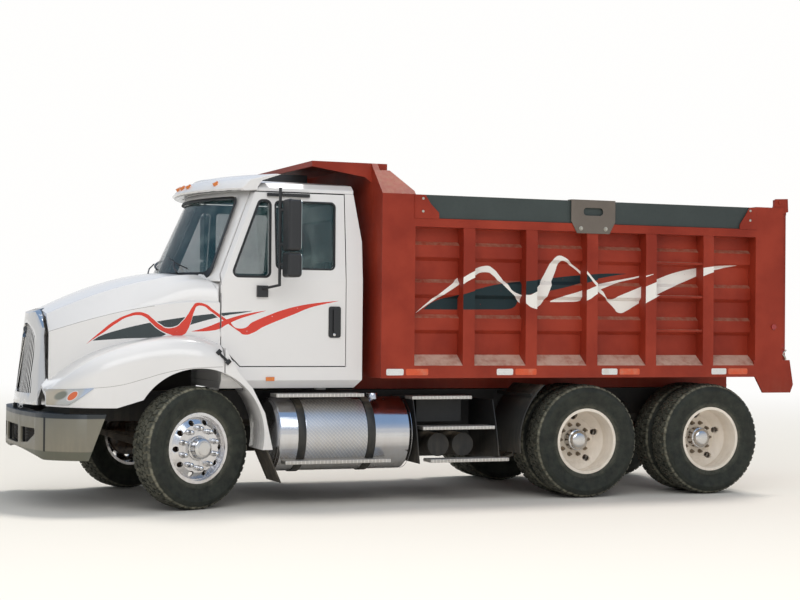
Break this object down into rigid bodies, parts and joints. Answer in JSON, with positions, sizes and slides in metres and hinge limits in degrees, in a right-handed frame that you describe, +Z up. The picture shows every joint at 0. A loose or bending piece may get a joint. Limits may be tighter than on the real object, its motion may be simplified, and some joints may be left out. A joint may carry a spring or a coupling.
{
  "type": "dump truck",
  "caption": "Conventional-cab dump truck with a tilting ribbed bed, hinged tailgate, tilting hood, opening doors, steered front wheels and twin rear axles.",
  "frame": {"origin": "on the ground, under the middle of the truck's length and width", "axes": "+X forward, +Y to the driver's left, +Z up"},
  "size_m": [7.245, 2.84, 3.004],
  "materials": {
    "cab_white": "gloss, sun faded",
    "bed_red": "satin, dusty",
    "board_grey": "matt",
    "bumper_grey": "satin",
    "chassis_black": "satin, dusty",
    "wheel_cream": "satin",
    "clip_steel": "worn",
    "rod_steel": "bright",
    "polished": "polished",
    "chrome": "polished",
    "cast": "rough",
    "tyre": "dusty",
    "rubber": "matt",
    "black_plastic": "matt",
    "interior": "woven",
    "glass": "clear, tinted",
    "lamp_clear": "clear",
    "amber": "translucent",
    "lamp_red": "translucent"
  },
  "bodies": {
    "chassis": {"frame_rails": "chassis_black", "crossmembers": "chassis_black", "front_bumper": "bumper_grey", "engine": "cast", "exhaust": "chassis_black", "front_axle": "cast", "drive_axles": "cast", "cab_floor": "cab_white", "cab_front": "cab_white", "cab_sides": "cab_white", "cab_back": "cab_white", "cab_roof": "cab_white", "cab_glass": "glass", "sun_visor": "cab_white", "roof_unit": "cab_white", "amber_lamps": "amber", "cab_interior": "interior", "fuel_tank": "polished", "tank_straps": "chassis_black", "step_treads": "polished", "step_frames": "chassis_black", "fender_extensions": "cab_white", "mud_guards": "rubber"},
    "hood": {"hood_shell": "cab_white", "grille": "chrome", "headlamps": "lamp_clear"},
    "door_left": {"door_left": "cab_white", "door_glass_left": "glass", "mirror_left": "black_plastic"},
    "door_right": {"door_right": "cab_white", "door_glass_right": "glass", "mirror_right": "black_plastic"},
    "bed": {"bed_floor": "bed_red", "bed_side_left": "bed_red", "bed_side_right": "bed_red", "bed_headboard": "bed_red", "sideboards": "board_grey", "board_clips": "clip_steel", "tail_lamps": "lamp_red"},
    "tailgate": {"tailgate": "bed_red"},
    "hoist_barrels": {"hoist_barrels": "chassis_black"},
    "hoist_stage_1": {"hoist_stage_1": "rod_steel"},
    "hoist_stage_2": {"hoist_stage_2": "rod_steel"},
    "hoist_stage_3": {"hoist_stage_3": "rod_steel"},
    "knuckle_left": {"knuckle_left": "cast"},
    "knuckle_right": {"knuckle_right": "cast"},
    "tie_rod": {"tie_rod": "cast"},
    "wheel_front_left": {"tyre_front_left": "tyre", "wheel_front_left": "polished"},
    "wheel_front_right": {"tyre_front_right": "tyre", "wheel_front_right": "polished"},
    "wheels_first_left": {"tyres_first_left": "tyre", "wheels_first_left": "wheel_cream"},
    "wheels_first_right": {"tyres_first_right": "tyre", "wheels_first_right": "wheel_cream"},
    "wheels_second_left": {"tyres_second_left": "tyre", "wheels_second_left": "wheel_cream"},
    "wheels_second_right": {"tyres_second_right": "tyre", "wheels_second_right": "wheel_cream"}
  },
  "joints": [
    {"name": "bed_tilt", "type": "hinge", "parent": "chassis", "child": "bed", "pos_m": [-3.3515, 0, 0.93], "axis": [0, -1, 0], "range_deg": [0, 44]},
    {"name": "tailgate_swing", "type": "hinge", "parent": "bed", "child": "tailgate", "pos_m": [-3.4665, 0, 2.781], "axis": [0, 1, 0], "range_deg": [0, 80]},
    {"name": "hoist_swing", "type": "hinge", "parent": "chassis", "child": "hoist_barrels", "pos_m": [-1.0015, 0, 0.37], "axis": [0, -1, 0], "range_deg": [0, 22]},
    {"name": "hoist_slide_1", "type": "slide", "parent": "hoist_barrels", "child": "hoist_stage_1", "axis": [0.0775, 0, 0.997], "range_m": [0, 0.5782]},
    {"name": "hoist_slide_2", "type": "slide", "parent": "hoist_stage_1", "child": "hoist_stage_2", "axis": [0.0775, 0, 0.997], "range_m": [0, 0.5782]},
    {"name": "hoist_slide_3", "type": "slide", "parent": "hoist_stage_2", "child": "hoist_stage_3", "axis": [0.0775, 0, 0.997], "range_m": [0, 0.5782]},
    {"name": "hood_tilt", "type": "hinge", "parent": "chassis", "child": "hood", "pos_m": [3.5745, 0, 0.838], "axis": [0, 1, 0], "range_deg": [0, 65]},
    {"name": "door_left_swing", "type": "hinge", "parent": "chassis", "child": "door_left", "pos_m": [2.0435, 1.03, 1.6], "axis": [0, 0, -1], "range_deg": [0, 55]},
    {"name": "door_right_swing", "type": "hinge", "parent": "chassis", "child": "door_right", "pos_m": [2.0435, -1.03, 1.6], "axis": [0, 0, 1], "range_deg": [0, 55]},
    {"name": "steer_left", "type": "hinge", "parent": "chassis", "child": "knuckle_left", "pos_m": [2.3385, 0.88, 0.52], "axis": [0, 0, 1], "range_deg": [-52, 12]},
    {"name": "steer_right", "type": "hinge", "parent": "chassis", "child": "knuckle_right", "pos_m": [2.3385, -0.88, 0.52], "axis": [0, 0, 1], "range_deg": [-52, 12]},
    {"name": "tie_rod_pivot", "type": "hinge", "parent": "knuckle_left", "child": "tie_rod", "pos_m": [2.15996, 0.81502, 0.377], "axis": [0, 0, 1], "range_deg": [-12, 52]},
    {"name": "front_left_spin", "type": "hinge", "parent": "knuckle_left", "child": "wheel_front_left", "pos_m": [2.29062, 1.01156, 0.52], "axis": [-0.342, 0.9397, 0], "continuous": true},
    {"name": "front_right_spin", "type": "hinge", "parent": "knuckle_right", "child": "wheel_front_right", "pos_m": [2.38638, -1.01156, 0.52], "axis": [-0.342, 0.9397, 0], "continuous": true},
    {"name": "first_left_spin", "type": "hinge", "parent": "chassis", "child": "wheels_first_left", "pos_m": [-1.4015, 0.905, 0.52], "axis": [0, 1, 0], "continuous": true},
    {"name": "first_right_spin", "type": "hinge", "parent": "chassis", "child": "wheels_first_right", "pos_m": [-1.4015, -0.905, 0.52], "axis": [0, 1, 0], "continuous": true},
    {"name": "second_left_spin", "type": "hinge", "parent": "chassis", "child": "wheels_second_left", "pos_m": [-2.7215, 0.905, 0.52], "axis": [0, 1, 0], "continuous": true},
    {"name": "second_right_spin", "type": "hinge", "parent": "chassis", "child": "wheels_second_right", "pos_m": [-2.7215, -0.905, 0.52], "axis": [0, 1, 0], "continuous": true}
  ],
  "couplings": [
    {"joint": "hoist_swing", "follows": "bed_tilt", "ratio": 0.5},
    {"joint": "hoist_slide_1", "follows": "bed_tilt", "m_per_rad": 0.75227},
    {"joint": "hoist_slide_2", "follows": "bed_tilt", "m_per_rad": 0.75227},
    {"joint": "hoist_slide_3", "follows": "bed_tilt", "m_per_rad": 0.75227},
    {"joint": "steer_right", "follows": "steer_left", "ratio": 1},
    {"joint": "tie_rod_pivot", "follows": "steer_left", "ratio": -1}
  ]
}
